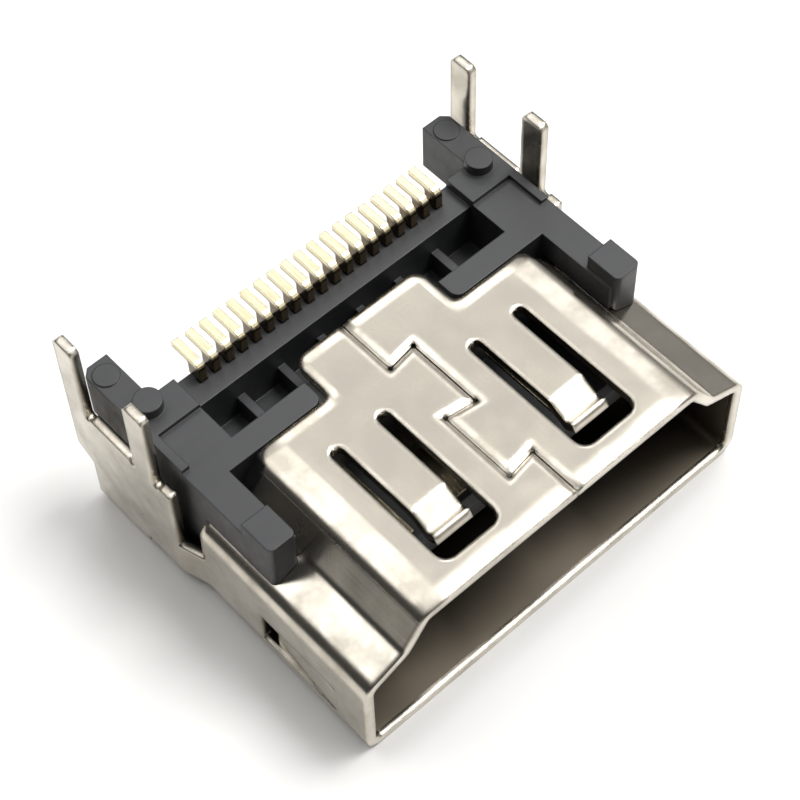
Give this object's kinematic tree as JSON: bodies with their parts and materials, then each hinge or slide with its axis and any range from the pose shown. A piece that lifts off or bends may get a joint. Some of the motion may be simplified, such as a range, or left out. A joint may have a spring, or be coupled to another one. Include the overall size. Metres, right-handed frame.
{
  "type": "audio video board socket",
  "caption": "Board-mount audio-video plug socket: folded nickel-plated D-shaped shell with spring fingers and board legs, black moulded core and a row of gold-plated solder tails.",
  "frame": {"origin": "middle of the bounding box on the plane that the wide face lies on", "axes": "+X across the mouth, -Y out of the mouth, +Z from the wide face to the board legs"},
  "size_m": [0.0152, 0.0122, 0.0074],
  "materials": {
    "nickel_sheet": "nickel plated, satin",
    "black_polymer": "moulded, fine matt",
    "gold_contact": "gold plated"
  },
  "bodies": {
    "root": {"shell": "nickel_sheet", "housing": "black_polymer", "contact_01": "gold_contact", "contact_02": "gold_contact", "contact_03": "gold_contact", "contact_04": "gold_contact", "contact_05": "gold_contact", "contact_06": "gold_contact", "contact_07": "gold_contact", "contact_08": "gold_contact", "contact_09": "gold_contact", "contact_10": "gold_contact", "contact_11": "gold_contact", "contact_12": "gold_contact", "contact_13": "gold_contact", "contact_14": "gold_contact", "contact_15": "gold_contact", "contact_16": "gold_contact", "contact_17": "gold_contact", "contact_18": "gold_contact", "contact_19": "gold_contact"}
  },
  "joints": []
}
